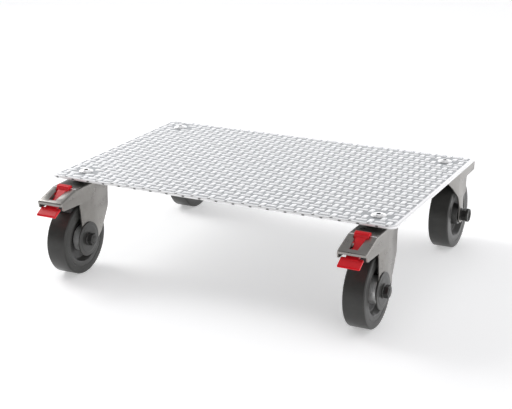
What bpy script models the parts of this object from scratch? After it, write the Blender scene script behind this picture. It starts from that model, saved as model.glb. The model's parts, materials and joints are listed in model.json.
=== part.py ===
"""Flatbed platform truck: a tread-plate deck on four swivel castors, the two front ones with brakes.

Metres, +Z up, floor at z = 0. +X runs along the deck, and the front (the brake pedals) faces -Y.
Each castor is drawn in its own frame: origin on the swivel axis at floor level, +Y along the
trailing direction, +X across the fork.
"""

import math

import bmesh
import bpy
from mathutils import Matrix, Vector

# Deck
DECK_LENGTH = 1.000
DECK_WIDTH = 0.680
DECK_THICKNESS = 0.006
DECK_UNDERSIDE = 0.2655
DECK_CORNER_RADIUS = 0.022

# Castor layout
SWIVEL_X = 0.430
SWIVEL_Y = 0.268
TRAIL = 0.062
GAP = 0.0003

# Wheel
WHEEL_RADIUS = 0.100
TREAD_HALF_WIDTH = 0.026
TYRE_HALF_WIDTH = 0.029
TYRE_INNER_RADIUS = 0.080
TYRE_CHAMFER = 0.002
HUB_HALF_LENGTH = 0.0335
HUB_RADIUS = 0.030
HUB_BORE = 0.0193
WHEEL_STEPS = 36
HUB_STEPS = 18

# Fork sheet
SHEET = 0.004
FORK_HALF_WIDTH = 0.039
FORK_INNER = FORK_HALF_WIDTH - SHEET
CROWN_TOP = 0.2543
CROWN_LEAD = -0.075
SKIRT_BOTTOM = 0.236
BEND_Y = 0.108
VISOR_END_Y = 0.180
VISOR_END_Z = 0.2328
LIP_BOTTOM = 0.227

# Swivel head
RACE_RADIUS = 0.026
BALL_RADIUS = 0.003
RACE_Z = 0.2557
RACE_STEPS = 24
GROOVE_GAP = 0.0005
HEAD_RADIUS = 0.038
HEAD_BOTTOM = 0.2570
KING_SHANK_RADIUS = 0.006
KING_FLANGE_RADIUS = 0.020
KING_BOTTOM = 0.2365
KING_STEPS = 16

# Axle
AXLE_RADIUS = 0.010
SLEEVE_RADIUS = 0.013
COVER_RADIUS = 0.048
COVER_THICKNESS = 0.004
AXLE_HEX_ACROSS_FLATS = 0.030
AXLE_NUT_LENGTH = 0.0155
NUT_COLLAR_RADIUS = 0.0195
NUT_COLLAR_END = 0.024
AXLE_END = 0.060

# Brake
PIVOT_Y = 0.104
PIVOT_Z = 0.238
PIN_RADIUS = 0.004
BOSS_RADIUS = 0.010
SHOE_TRAVEL_GAP = 0.0042
PEDAL_HALF_WIDTH = 0.029
PEDAL_END_Y = 0.201

# The deck is set back so that the whole truck, pedals included, is centred on the origin.
REACH_FRONT = SWIVEL_Y + PEDAL_END_Y
REACH_REAR = SWIVEL_Y + VISOR_END_Y
DECK_Y = (REACH_FRONT - REACH_REAR) / 2.0

# Turns that stand a shape drawn flat in XY on its edge, and a turned shape on its side.
ON_EDGE = Matrix(((0, 0, 1, 0), (1, 0, 0, 0), (0, 1, 0, 0), (0, 0, 0, 1)))
ON_SIDE = Matrix.Rotation(math.radians(90.0), 4, "Y")


# ---------------------------------------------------------------- scene and materials

def clear_scene():
    for thing in list(bpy.data.objects):
        bpy.data.objects.remove(thing, do_unlink=True)


def new_collection(name):
    collection = bpy.data.collections.new(name)
    bpy.context.scene.collection.children.link(collection)
    return collection


def principled(name, colour, roughness, metallic):
    material = bpy.data.materials.new(name)
    material.use_nodes = True
    shader = material.node_tree.nodes["Principled BSDF"]
    shader.inputs["Base Color"].default_value = (*colour, 1.0)
    shader.inputs["Roughness"].default_value = roughness
    shader.inputs["Metallic"].default_value = metallic
    return material


clear_scene()
PARTS = new_collection("platform_truck")
CUTTERS = new_collection("cutters")

ALUMINIUM = principled("aluminium_tread_plate", (0.86, 0.87, 0.88), 0.30, 0.9)
ZINC = principled("zinc_plated_sheet", (0.55, 0.53, 0.51), 0.38, 0.8)
STEEL = principled("bright_steel", (0.58, 0.58, 0.60), 0.30, 1.0)
BEARING_STEEL = principled("bearing_steel", (0.42, 0.42, 0.44), 0.25, 1.0)
GREY_NYLON = principled("grey_nylon", (0.14, 0.14, 0.135), 0.45, 0.0)
GREY_TYRE = principled("grey_tyre", (0.11, 0.11, 0.108), 0.60, 0.0)
RED_PLASTIC = principled("red_plastic", (0.62, 0.03, 0.04), 0.35, 0.0)
BLACK_RUBBER = principled("black_rubber", (0.03, 0.03, 0.03), 0.80, 0.0)


# ---------------------------------------------------------------- shape helpers

def temporary(name, data):
    """An object in the cutters' collection, used while a shape is being made."""
    thing = bpy.data.objects.new(name, data)
    thing.hide_render = True
    thing.display_type = "WIRE"
    CUTTERS.objects.link(thing)
    return thing


def take_mesh(thing):
    """The evaluated mesh of an object, welded and facing out. The object is removed."""
    bpy.context.view_layer.update()
    graph = bpy.context.evaluated_depsgraph_get()
    mesh = bpy.data.meshes.new_from_object(thing.evaluated_get(graph))
    mesh.transform(thing.matrix_world)
    bpy.data.objects.remove(thing, do_unlink=True)
    shell = bmesh.new()
    shell.from_mesh(mesh)
    bmesh.ops.remove_doubles(shell, verts=shell.verts, dist=0.000005)
    bmesh.ops.recalc_face_normals(shell, faces=shell.faces)
    shell.to_mesh(mesh)
    shell.free()
    mesh.materials.clear()
    return mesh


def rounded(corners, steps=3):
    """Points of a closed outline. Each corner is (u, w, radius)."""
    points = []
    count = len(corners)
    for index, (u, w, radius) in enumerate(corners):
        here = Vector((u, w))
        before = Vector(corners[index - 1][:2])
        after = Vector(corners[(index + 1) % count][:2])
        if radius <= 0.0:
            points.append(here)
            continue
        back = (before - here).normalized()
        ahead = (after - here).normalized()
        half = back.angle(ahead) / 2.0
        reach = radius / math.tan(half)
        room = 0.48 * min((before - here).length, (after - here).length)
        if reach > room:
            reach = room
            radius = reach * math.tan(half)
        centre = here + (back + ahead).normalized() * (radius / math.sin(half))
        start = here + back * reach - centre
        finish = here + ahead * reach - centre
        sweep = start.angle_signed(finish)
        for step in range(steps + 1):
            angle = -sweep * step / steps
            turned_point = Vector((
                start.x * math.cos(angle) - start.y * math.sin(angle),
                start.x * math.sin(angle) + start.y * math.cos(angle),
            ))
            points.append(centre + turned_point)
    return points


def circle_points(u, w, radius, steps):
    turn = 2.0 * math.pi / steps
    return [Vector((u + radius * math.cos(i * turn), w + radius * math.sin(i * turn)))
            for i in range(steps)]


def plate(name, outline, thickness, holes=()):
    """A flat plate in XY, centred on z = 0, from an outline and its holes."""
    curve = bpy.data.curves.new(name, "CURVE")
    curve.dimensions = "2D"
    curve.fill_mode = "BOTH"
    curve.extrude = thickness / 2.0
    for loop in (outline, *holes):
        spline = curve.splines.new("POLY")
        spline.points.add(len(loop) - 1)
        for point, place in zip(spline.points, loop):
            point.co = (place[0], place[1], 0.0, 1.0)
        spline.use_cyclic_u = True
    return take_mesh(temporary(name, curve))


def turned(name, profile, steps, ring=False):
    """A shape turned about Z. The profile runs down its outer side; a ring's profile is closed."""
    mesh = bpy.data.meshes.new(name)
    count = len(profile)
    edges = [(i, i + 1) for i in range(count - 1)]
    if ring:
        edges.append((count - 1, 0))
    mesh.from_pydata([(radius, 0.0, z) for radius, z in profile], edges, [])
    thing = temporary(name, mesh)
    screw = thing.modifiers.new("turn", "SCREW")
    screw.angle = 2.0 * math.pi
    screw.steps = steps
    screw.render_steps = steps
    screw.use_merge_vertices = True
    screw.merge_threshold = 0.00001
    return take_mesh(thing)


def torus(name, ring_radius, tube_radius, z, steps, tube_steps):
    turn = 2.0 * math.pi / tube_steps
    profile = [(ring_radius + tube_radius * math.sin(i * turn), z + tube_radius * math.cos(i * turn))
               for i in range(tube_steps)]
    return turned(name, profile, steps, ring=True)


def hexagon(name, across_flats, bottom, top):
    """A hexagonal prism along Z."""
    corner = across_flats / math.sqrt(3.0)
    shape = bmesh.new()
    bmesh.ops.create_cone(
        shape, cap_ends=True, segments=6, radius1=corner, radius2=corner, depth=top - bottom,
        matrix=Matrix.Translation((0.0, 0.0, (top + bottom) / 2.0)))
    mesh = bpy.data.meshes.new(name)
    shape.to_mesh(mesh)
    shape.free()
    return mesh


def combine(name, base, other, operation):
    """The Boolean of two meshes drawn in the same frame."""
    first = temporary(name, base)
    second = temporary(name + "_tool", other)
    step = first.modifiers.new("combine", "BOOLEAN")
    step.operation = operation
    step.solver = "EXACT"
    step.object = second
    mesh = take_mesh(first)
    bpy.data.objects.remove(second, do_unlink=True)
    return mesh


def moved(mesh, matrix):
    copy = mesh.copy()
    copy.transform(matrix)
    return copy


def shift(x=0.0, y=0.0, z=0.0):
    return Matrix.Translation((x, y, z))


def cylinder(name, radius, bottom, top, steps):
    return turned(name, [(0.0, top), (radius, top), (radius, bottom), (0.0, bottom)], steps)


def tube(name, inner, outer, bottom, top, steps):
    return turned(name, [(inner, top), (outer, top), (outer, bottom), (inner, bottom)], steps, ring=True)


def across(mesh, y, z):
    """Lays a shape turned about Z along X, through (y, z) of the castor frame."""
    return moved(mesh, shift(0.0, y, z) @ ON_SIDE)


def smooth(mesh, degrees=35.0):
    mesh.shade_smooth()
    mesh.set_sharp_from_angle(angle=math.radians(degrees))
    return mesh


# ---------------------------------------------------------------- deck

def deck_mesh():
    half_x = DECK_LENGTH / 2.0
    half_y = DECK_WIDTH / 2.0
    radius = DECK_CORNER_RADIUS
    outline = rounded([(-half_x, -half_y, radius), (half_x, -half_y, radius),
                       (half_x, half_y, radius), (-half_x, half_y, radius)], steps=6)
    holes = [circle_points(sx * SWIVEL_X, sy * SWIVEL_Y, KING_SHANK_RADIUS + GAP, 20)
             for sx in (-1, 1) for sy in (-1, 1)]
    mesh = plate("deck", outline, DECK_THICKNESS, holes)
    mesh.transform(shift(0.0, DECK_Y, DECK_UNDERSIDE + DECK_THICKNESS / 2.0))
    return mesh


# ---------------------------------------------------------------- swivel head

def king_bolt_mesh():
    """Flat flanged bolt with a hexagon socket, standing on the deck."""
    seat = DECK_UNDERSIDE + DECK_THICKNESS + GAP
    flange = 0.0022
    head = 0.0045
    body = turned("king_bolt", [
        (0.0, seat + head), (0.0105, seat + head), (0.0120, seat + head - 0.0012),
        (0.0120, seat + flange), (KING_FLANGE_RADIUS - 0.001, seat + flange),
        (KING_FLANGE_RADIUS, seat + flange - 0.001), (KING_FLANGE_RADIUS, seat),
        (KING_SHANK_RADIUS, seat), (KING_SHANK_RADIUS, KING_BOTTOM), (0.0, KING_BOTTOM),
    ], KING_STEPS)
    socket = hexagon("socket", 0.010, seat + 0.0005, seat + head + 0.002)
    return smooth(combine("king_bolt", body, socket, "DIFFERENCE"))


def head_plate_mesh():
    """Upper race, bolted under the deck, with the groove the balls run in."""
    top = DECK_UNDERSIDE - GAP
    body = tube("head_plate", KING_SHANK_RADIUS + GAP, HEAD_RADIUS, HEAD_BOTTOM, top, KING_STEPS)
    groove = torus("groove", RACE_RADIUS, BALL_RADIUS + GROOVE_GAP, RACE_Z, RACE_STEPS, 6)
    return smooth(combine("head_plate", body, groove, "DIFFERENCE"))


def king_nut_mesh():
    """Flanged nut that holds the fork up from below."""
    seat = CROWN_TOP - SHEET - GAP
    flange = 0.003
    body = cylinder("king_nut", 0.017, seat - flange, seat, KING_STEPS)
    hexagonal = hexagon("king_nut_hex", 0.019, seat - 0.013, seat - 0.001)
    bore = cylinder("bore", KING_SHANK_RADIUS + GAP, seat - 0.02, seat + 0.01, 20)
    joined = combine("king_nut", body, hexagonal, "UNION")
    return smooth(combine("king_nut", joined, bore, "DIFFERENCE"))


# ---------------------------------------------------------------- fork

def braked_cheek_outline():
    """Side of a front fork: a straight, wide leg on the leading side."""
    return rounded([
        (CROWN_LEAD, CROWN_TOP, 0.006), (CROWN_LEAD, 0.234, 0.004), (-0.056, 0.222, 0.010),
        (-0.054, 0.162, 0.030), (-0.012, 0.100, 0.040), (0.040, 0.070, 0.022),
        (0.086, 0.072, 0.020), (0.088, 0.150, 0.060), (0.094, 0.208, 0.008),
        (0.176, 0.211, 0.006), (VISOR_END_Y, VISOR_END_Z, 0.002), (BEND_Y, CROWN_TOP, 0.012),
    ])


def plain_cheek_outline():
    """Side of a rear fork: the leading side sweeps in a hollow curve to a narrow leg."""
    return rounded([
        (CROWN_LEAD, CROWN_TOP, 0.006), (CROWN_LEAD, 0.232, 0.006), (-0.022, 0.200, 0.090),
        (0.030, 0.158, 0.090), (0.044, 0.118, 0.050), (0.040, 0.076, 0.020),
        (0.084, 0.076, 0.020), (0.085, 0.134, 0.004), (0.097, 0.142, 0.004),
        (0.098, 0.2065, 0.006), (0.176, 0.208, 0.006), (VISOR_END_Y, VISOR_END_Z, 0.002),
        (BEND_Y, CROWN_TOP, 0.012),
    ])


def crown_outline():
    """Section of the crown, its leading skirt, the sloping visor and the visor's lip."""
    slope = (CROWN_TOP - VISOR_END_Z) / (VISOR_END_Y - BEND_Y)
    lip_inner = VISOR_END_Y - 0.003
    under_lip = CROWN_TOP - SHEET - slope * (lip_inner - BEND_Y)
    return rounded([
        (CROWN_LEAD, CROWN_TOP, 0.006), (CROWN_LEAD, SKIRT_BOTTOM, 0.0),
        (CROWN_LEAD + SHEET, SKIRT_BOTTOM, 0.0), (CROWN_LEAD + SHEET, CROWN_TOP - SHEET, 0.003),
        (BEND_Y, CROWN_TOP - SHEET, 0.008), (lip_inner, under_lip, 0.001),
        (lip_inner, LIP_BOTTOM, 0.0), (VISOR_END_Y, LIP_BOTTOM, 0.0),
        (VISOR_END_Y, VISOR_END_Z, 0.002), (BEND_Y, CROWN_TOP, 0.012),
    ])


def lever_window():
    """Opening in the crown and visor that the brake lever works through."""
    outline = [(-0.0215, 0.096), (0.0215, 0.096), (0.0215, 0.124), (0.0135, 0.168),
               (-0.0135, 0.168), (-0.0215, 0.124)]
    return moved(plate("window", outline, 0.060), shift(0.0, 0.0, 0.245))


def fork_mesh(name, cheek_outline, braked):
    holes = [circle_points(TRAIL, WHEEL_RADIUS, AXLE_RADIUS + GAP, 24)]
    if braked:
        holes.append(circle_points(PIVOT_Y, PIVOT_Z, PIN_RADIUS + GAP, 16))
    cheek = moved(plate(name, cheek_outline, SHEET, holes), ON_EDGE)
    middle = FORK_HALF_WIDTH - SHEET / 2.0
    width = 2.0 * (FORK_HALF_WIDTH - 0.001)
    fork = moved(plate(name + "_crown", crown_outline(), width), ON_EDGE)
    for side in (-1, 1):
        fork = combine(name, fork, moved(cheek, shift(side * middle)), "UNION")
    groove = torus("groove", RACE_RADIUS, BALL_RADIUS + GROOVE_GAP, RACE_Z, RACE_STEPS, 6)
    fork = combine(name, fork, groove, "DIFFERENCE")
    king_hole = cylinder("king_hole", KING_SHANK_RADIUS + GAP, 0.240, 0.260, 20)
    fork = combine(name, fork, king_hole, "DIFFERENCE")
    if braked:
        fork = combine(name, fork, lever_window(), "DIFFERENCE")
    return smooth(fork)


# ---------------------------------------------------------------- wheel and axle

def wheel_ring(name, profile):
    """A ring about the axle, one of whose many flats faces the floor."""
    ring = turned(name, profile, WHEEL_STEPS, ring=True)
    ring.transform(Matrix.Rotation(math.pi / WHEEL_STEPS, 4, "Z"))
    return smooth(across(ring, TRAIL, WHEEL_RADIUS))


def tyre_mesh():
    """Solid tyre. The flats of its tread, and not their corners, lie at the wheel's radius."""
    half = TYRE_HALF_WIDTH
    tread = WHEEL_RADIUS / math.cos(math.pi / WHEEL_STEPS)
    shoulder = tread - TYRE_CHAMFER
    return wheel_ring("tyre", [
        (TYRE_INNER_RADIUS, half), (shoulder, half), (tread, TREAD_HALF_WIDTH),
        (tread, -TREAD_HALF_WIDTH), (shoulder, -half), (TYRE_INNER_RADIUS, -half),
    ])


def wheel_centre_mesh():
    """Rim, dished web and hub in one moulding."""
    rim = TYRE_INNER_RADIUS - GAP
    outer_side = [
        (HUB_BORE, HUB_HALF_LENGTH), (HUB_RADIUS, HUB_HALF_LENGTH), (HUB_RADIUS + 0.003, 0.013),
        (0.058, 0.012), (0.066, 0.0280), (rim, 0.0280),
    ]
    return wheel_ring("wheel_centre", outer_side + [(radius, -x) for radius, x in reversed(outer_side)])


def roller_bearing_mesh():
    ring = tube("roller_bearing", SLEEVE_RADIUS + GAP, HUB_BORE - GAP, -0.026, 0.026, HUB_STEPS)
    return smooth(across(ring, TRAIL, WHEEL_RADIUS))


def axle_sleeve_mesh():
    length = FORK_INNER - GAP
    ring = tube("axle_sleeve", AXLE_RADIUS + GAP, SLEEVE_RADIUS, -length, length, HUB_STEPS)
    return smooth(across(ring, TRAIL, WHEEL_RADIUS))


def axle_bolt_mesh(seat):
    """Bolt along +X with its hexagon head on the -X side, under a washer face."""
    end = AXLE_END
    shank = turned("axle_bolt", [
        (0.0, end), (AXLE_RADIUS - 0.0015, end), (AXLE_RADIUS, end - 0.0015),
        (AXLE_RADIUS, -seat), (0.019, -seat), (0.019, -seat - 0.003), (0.0, -seat - 0.003),
    ], 24)
    head = hexagon("axle_head", AXLE_HEX_ACROSS_FLATS, -seat - 0.0145, -seat - 0.001)
    return smooth(across(combine("axle_bolt", shank, head, "UNION"), TRAIL, WHEEL_RADIUS))


def axle_nut_mesh(seat, capped):
    """Flanged nut on the +X end of the axle bolt. A capped nut carries a round collar at its end."""
    flange = cylinder("axle_nut", 0.019, seat, seat + 0.003, HUB_STEPS)
    body = hexagon("axle_nut_hex", AXLE_HEX_ACROSS_FLATS, seat + 0.001, seat + AXLE_NUT_LENGTH)
    nut = combine("axle_nut", flange, body, "UNION")
    if capped:
        collar = cylinder("axle_nut_collar", NUT_COLLAR_RADIUS, seat + AXLE_NUT_LENGTH - 0.001,
                          seat + NUT_COLLAR_END, 24)
        nut = combine("axle_nut", nut, collar, "UNION")
    bore = cylinder("bore", AXLE_RADIUS + GAP, seat - 0.01, seat + 0.03, 24)
    return smooth(across(combine("axle_nut", nut, bore, "DIFFERENCE"), TRAIL, WHEEL_RADIUS))


def cover_disc_mesh(side):
    """Guard disc over the foot of a braked fork's leg."""
    inner = FORK_HALF_WIDTH + GAP
    outer = inner + COVER_THICKNESS
    bore = AXLE_RADIUS + GAP
    profile = [(bore, outer), (COVER_RADIUS - 0.002, outer), (COVER_RADIUS, inner), (bore, inner)]
    disc = turned("cover_disc", profile, 32, ring=True)
    if side < 0:
        disc = moved(disc, Matrix.Rotation(math.pi, 4, "X"))
    return smooth(across(disc, TRAIL, WHEEL_RADIUS))


# ---------------------------------------------------------------- brake

def lever_mesh():
    """Brake lever: boss, thumb pad above the visor, tapering neck, and pedal beyond the lip."""
    boss = across(cylinder("lever", BOSS_RADIUS, -FORK_INNER + 0.0006, FORK_INNER - 0.0006, 24),
                  PIVOT_Y, PIVOT_Z)
    pad = rounded([(0.1010, 0.2400, 0.0), (0.1010, 0.2620, 0.002), (0.1120, 0.2625, 0.003),
                   (0.1190, 0.2560, 0.003), (0.1190, 0.2400, 0.0)])
    pad = moved(plate("pad", pad, 0.039), ON_EDGE)
    neck = rounded([(0.1100, 0.2440, 0.0), (0.1100, 0.2590, 0.0), (0.1740, 0.2165, 0.008),
                    (0.1800, 0.2130, 0.0), (0.1800, 0.2060, 0.0), (0.1700, 0.2095, 0.008),
                    (0.1180, 0.2380, 0.004)])
    neck = moved(plate("neck", neck, 0.060), ON_EDGE)
    taper = plate("taper", [(-0.0195, 0.100), (0.0195, 0.100), (0.0180, 0.120), (0.0105, 0.160),
                            (0.0120, 0.182), (-0.0120, 0.182), (-0.0105, 0.160), (-0.0180, 0.120)],
                  0.100)
    taper.transform(shift(0.0, 0.0, 0.235))
    neck = combine("neck", neck, taper, "INTERSECT")
    pedal = rounded([(0.1705, 0.2110, 0.002), (0.1730, 0.2175, 0.002),
                     (0.1990, 0.2030, 0.002), (PEDAL_END_Y, 0.1990, 0.0),
                     (0.1970, 0.1965, 0.002)])
    pedal = moved(plate("pedal", pedal, 2.0 * PEDAL_HALF_WIDTH), ON_EDGE)
    lever = combine("lever", boss, pad, "UNION")
    lever = combine("lever", lever, neck, "UNION")
    lever = combine("lever", lever, pedal, "UNION")
    hole = across(cylinder("hole", PIN_RADIUS + GAP, -0.05, 0.05, 16), PIVOT_Y, PIVOT_Z)
    return smooth(combine("lever", lever, hole, "DIFFERENCE"))


def lever_pin_mesh():
    length = FORK_HALF_WIDTH - GAP
    return smooth(across(cylinder("lever_pin", PIN_RADIUS, -length, length, 16), PIVOT_Y, PIVOT_Z))


def brake_shoe_mesh():
    """Block between the lever's boss and the tyre, hollowed to the tyre's curve."""
    block = rounded([(0.088, 0.190, 0.0), (0.088, 0.224, 0.003), (0.112, 0.224, 0.003),
                     (0.118, 0.205, 0.004), (0.118, 0.176, 0.0)])
    block = moved(plate("brake_shoe", block, 0.046), ON_EDGE)
    hollow = cylinder("hollow", WHEEL_RADIUS + SHOE_TRAVEL_GAP, -0.05, 0.05, 64)
    hollow = across(hollow, TRAIL, WHEEL_RADIUS)
    return smooth(combine("brake_shoe", block, hollow, "DIFFERENCE"))


def detent_spring_mesh():
    """Leaf that holds the lever in its two positions."""
    top = CROWN_TOP - SHEET - GAP
    strip = 0.0012
    outline = rounded([(0.066, top, 0.0), (0.084, top, 0.003), (0.0932, 0.2430, 0.003),
                       (0.0932, 0.2350, 0.0), (0.0920, 0.2350, 0.0), (0.0920, 0.2425, 0.002),
                       (0.0835, top - strip, 0.002), (0.066, top - strip, 0.0)], steps=2)
    return moved(plate("detent_spring", outline, 0.020), ON_EDGE)


# ---------------------------------------------------------------- assembly

def empty(name, parent, location):
    frame = bpy.data.objects.new(name, None)
    frame.empty_display_size = 0.03
    frame.parent = parent
    frame.location = location
    PARTS.objects.link(frame)
    return frame


def place(name, mesh, material, frame, offset=(0.0, 0.0, 0.0)):
    """Puts a mesh drawn in the castor's frame on an empty that stands at the offset."""
    own = moved(mesh, Matrix.Translation(-Vector(offset)))
    own.name = name
    own.materials.append(material)
    thing = bpy.data.objects.new(name, own)
    thing.parent = frame
    PARTS.objects.link(thing)
    return thing


def build_castor(corner, x, y, trailing_back, shapes):
    """One castor. Its frame is turned half round where it trails towards the front."""
    axle = (0.0, TRAIL, WHEEL_RADIUS)
    head = empty(corner + "_head_frame", None, (x, y, 0.0))
    swivel = empty(corner + "_swivel_frame", None, (x, y, 0.0))
    if not trailing_back:
        swivel.rotation_euler.z = math.pi
    axle_frame = empty(corner + "_axle_frame", swivel, axle)
    place(corner + "_king_bolt", shapes["king_bolt"], STEEL, head)
    place(corner + "_head_plate", shapes["head_plate"], ZINC, head)
    place(corner + "_king_nut", shapes["king_nut"], STEEL, head)
    place(corner + "_ball_race", shapes["ball_race"], BEARING_STEEL, swivel)
    place(corner + "_tyre", shapes["tyre"], GREY_TYRE, axle_frame, axle)
    place(corner + "_wheel_centre", shapes["wheel_centre"], GREY_NYLON, axle_frame, axle)
    place(corner + "_roller_bearing", shapes["roller_bearing"], BEARING_STEEL, axle_frame, axle)
    place(corner + "_axle_sleeve", shapes["axle_sleeve"], STEEL, swivel)
    if trailing_back:
        place(corner + "_fork", shapes["plain_fork"], ZINC, swivel)
        place(corner + "_axle_bolt", shapes["plain_bolt"], STEEL, swivel)
        place(corner + "_axle_nut", shapes["plain_nut"], STEEL, swivel)
        return
    place(corner + "_fork", shapes["braked_fork"], ZINC, swivel)
    place(corner + "_axle_bolt", shapes["braked_bolt"], STEEL, swivel)
    place(corner + "_axle_nut", shapes["braked_nut"], STEEL, swivel)
    place(corner + "_cover_disc_right", shapes["cover_minus"], GREY_NYLON, swivel)
    place(corner + "_cover_disc_left", shapes["cover_plus"], GREY_NYLON, swivel)
    pivot = (0.0, PIVOT_Y, PIVOT_Z)
    pivot_frame = empty(corner + "_lever_frame", swivel, pivot)
    place(corner + "_brake_lever", shapes["lever"], RED_PLASTIC, pivot_frame, pivot)
    place(corner + "_lever_pin", shapes["lever_pin"], STEEL, swivel)
    place(corner + "_brake_shoe", shapes["brake_shoe"], BLACK_RUBBER, swivel)
    place(corner + "_detent_spring", shapes["detent_spring"], STEEL, swivel)


def castor_shapes():
    flip = Matrix.Rotation(math.pi, 4, "Z")
    braked_seat = FORK_HALF_WIDTH + COVER_THICKNESS + 2.0 * GAP
    plain_seat = FORK_HALF_WIDTH + GAP
    about_axle = shift(0.0, TRAIL, 0.0) @ flip @ shift(0.0, -TRAIL, 0.0)
    return {
        "king_bolt": king_bolt_mesh(),
        "head_plate": head_plate_mesh(),
        "king_nut": king_nut_mesh(),
        "ball_race": smooth(torus("ball_race", RACE_RADIUS, BALL_RADIUS, RACE_Z, RACE_STEPS, 6)),
        "tyre": tyre_mesh(),
        "wheel_centre": wheel_centre_mesh(),
        "roller_bearing": roller_bearing_mesh(),
        "axle_sleeve": axle_sleeve_mesh(),
        "plain_fork": fork_mesh("plain_fork", plain_cheek_outline(), False),
        "braked_fork": fork_mesh("braked_fork", braked_cheek_outline(), True),
        "plain_bolt": axle_bolt_mesh(plain_seat),
        "plain_nut": axle_nut_mesh(plain_seat, True),
        "braked_bolt": moved(axle_bolt_mesh(braked_seat), about_axle),
        "braked_nut": moved(axle_nut_mesh(braked_seat, False), about_axle),
        "cover_plus": cover_disc_mesh(1),
        "cover_minus": cover_disc_mesh(-1),
        "lever": lever_mesh(),
        "lever_pin": lever_pin_mesh(),
        "brake_shoe": brake_shoe_mesh(),
        "detent_spring": detent_spring_mesh(),
    }


def build_truck():
    deck = bpy.data.objects.new("deck_plate", deck_mesh())
    deck.data.materials.append(ALUMINIUM)
    PARTS.objects.link(deck)
    shapes = castor_shapes()
    for side, x in (("left", -SWIVEL_X), ("right", SWIVEL_X)):
        build_castor("front_" + side, x, DECK_Y - SWIVEL_Y, False, shapes)
        build_castor("rear_" + side, x, DECK_Y + SWIVEL_Y, True, shapes)
    bpy.context.view_layer.update()


build_truck()
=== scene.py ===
"""Looks of the flatbed platform truck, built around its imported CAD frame.

Metres, +Z up. Each castor's pieces are drawn in the castor's own frame, as in the CAD: origin on the
swivel axis at floor level, +Y along the trailing direction, +X across the fork.
"""

import json
import math

import bmesh
import bpy
from mathutils import Matrix, Vector


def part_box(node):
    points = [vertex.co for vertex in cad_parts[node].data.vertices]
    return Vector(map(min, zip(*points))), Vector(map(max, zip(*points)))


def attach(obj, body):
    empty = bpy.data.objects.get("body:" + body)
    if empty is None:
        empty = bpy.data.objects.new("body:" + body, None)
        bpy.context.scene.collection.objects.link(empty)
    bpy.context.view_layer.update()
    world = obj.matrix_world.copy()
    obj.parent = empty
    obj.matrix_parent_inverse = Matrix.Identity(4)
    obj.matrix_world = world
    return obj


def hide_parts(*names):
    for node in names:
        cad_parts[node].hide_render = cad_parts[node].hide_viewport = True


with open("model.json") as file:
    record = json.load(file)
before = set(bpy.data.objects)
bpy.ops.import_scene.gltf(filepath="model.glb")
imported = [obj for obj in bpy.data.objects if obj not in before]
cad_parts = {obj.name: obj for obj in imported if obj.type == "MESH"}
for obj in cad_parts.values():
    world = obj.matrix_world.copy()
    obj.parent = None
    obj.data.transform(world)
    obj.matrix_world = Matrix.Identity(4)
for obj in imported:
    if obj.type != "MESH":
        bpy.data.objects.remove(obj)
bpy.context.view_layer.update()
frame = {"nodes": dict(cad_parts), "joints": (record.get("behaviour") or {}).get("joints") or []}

MM = 0.001
JOINTS = {joint["name"]: joint for joint in frame["joints"]}
DECK_LOW, DECK_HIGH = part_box("deck_plate")
DECK_TOP = DECK_HIGH.z

# Fork sheet, in the castor's frame
FORK_LOW, FORK_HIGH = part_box("rear_right_fork")
FORK_HALF_WIDTH = (FORK_HIGH.x - FORK_LOW.x) / 2.0
SHEET = 3.6 * MM
SHEET_EDGE = 0.5 * MM
CHEEK_BEND = 5.0 * MM
CROWN_HALF_WIDTH = FORK_HALF_WIDTH - CHEEK_BEND
CROWN_TOP = FORK_HIGH.z
CROWN_LEAD = -75 * MM
CROWN_LEAD_BEND = 7.5 * MM
SKIRT_BOTTOM = 236 * MM
VISOR_START = 108 * MM
VISOR_START_BEND = 12 * MM
VISOR_END = 180 * MM
VISOR_END_Z = 232.8 * MM
VISOR_END_BEND = 4.5 * MM
LIP_BOTTOM = 224.5 * MM
BEND_PAINTED_HIGHLIGHT_HALF = 3.6 * MM  # half the width of the painted highlight along the visor's first bend
KING_HOLE = 6.4 * MM

# Wheel and axle, in the castor's frame
TRAIL = 62 * MM
WHEEL_RADIUS = JOINTS["rear_right_wheel_roll"]["pos_m"][2]
ROUND_STEPS = 128
SMALL_ROUND_STEPS = 64

# Axle stack: how far out from the fork's middle each nut and bolt head seats
GAP = 0.3 * MM
COVER_THICKNESS = 4.0 * MM
PLAIN_SEAT = FORK_HALF_WIDTH + GAP
BRAKED_SEAT = PLAIN_SEAT + COVER_THICKNESS + GAP
AXLE_BOLT_END = 60 * MM
AXLE_FLATS = 30 * MM
AXLE_CHAMFER = 1.6 * MM


# ---------------------------------------------------------------- meshes

def finished_object(name, mesh, material, degrees=35.0):
    """An object in the scene, shaded smooth except across its sharp edges."""
    mesh.name = name
    mesh.materials.append(material)
    mesh.shade_smooth()
    mesh.set_sharp_from_angle(angle=math.radians(degrees))
    thing = bpy.data.objects.new(name, mesh)
    bpy.context.scene.collection.objects.link(thing)
    return thing


def to_mesh(shape):
    bmesh.ops.recalc_face_normals(shape, faces=shape.faces)
    mesh = bpy.data.meshes.new("shape")
    shape.to_mesh(mesh)
    shape.free()
    return mesh


def with_modifiers(mesh, *settings):
    """The mesh after modifiers, each given as (type, {property: value})."""
    thing = bpy.data.objects.new("work", mesh)
    bpy.context.scene.collection.objects.link(thing)
    for kind, values in settings:
        step = thing.modifiers.new(kind.lower(), kind)
        for key, value in values.items():
            setattr(step, key, value)
    bpy.context.view_layer.update()
    graph = bpy.context.evaluated_depsgraph_get()
    result = bpy.data.meshes.new_from_object(thing.evaluated_get(graph))
    bpy.data.objects.remove(thing, do_unlink=True)
    return result


def combined(base, other, operation):
    """The Boolean of two closed meshes."""
    tool = bpy.data.objects.new("tool", other)
    bpy.context.scene.collection.objects.link(tool)
    result = with_modifiers(base, ("BOOLEAN", {"operation": operation, "solver": "EXACT", "object": tool}))
    bpy.data.objects.remove(tool, do_unlink=True)
    return result


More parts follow.
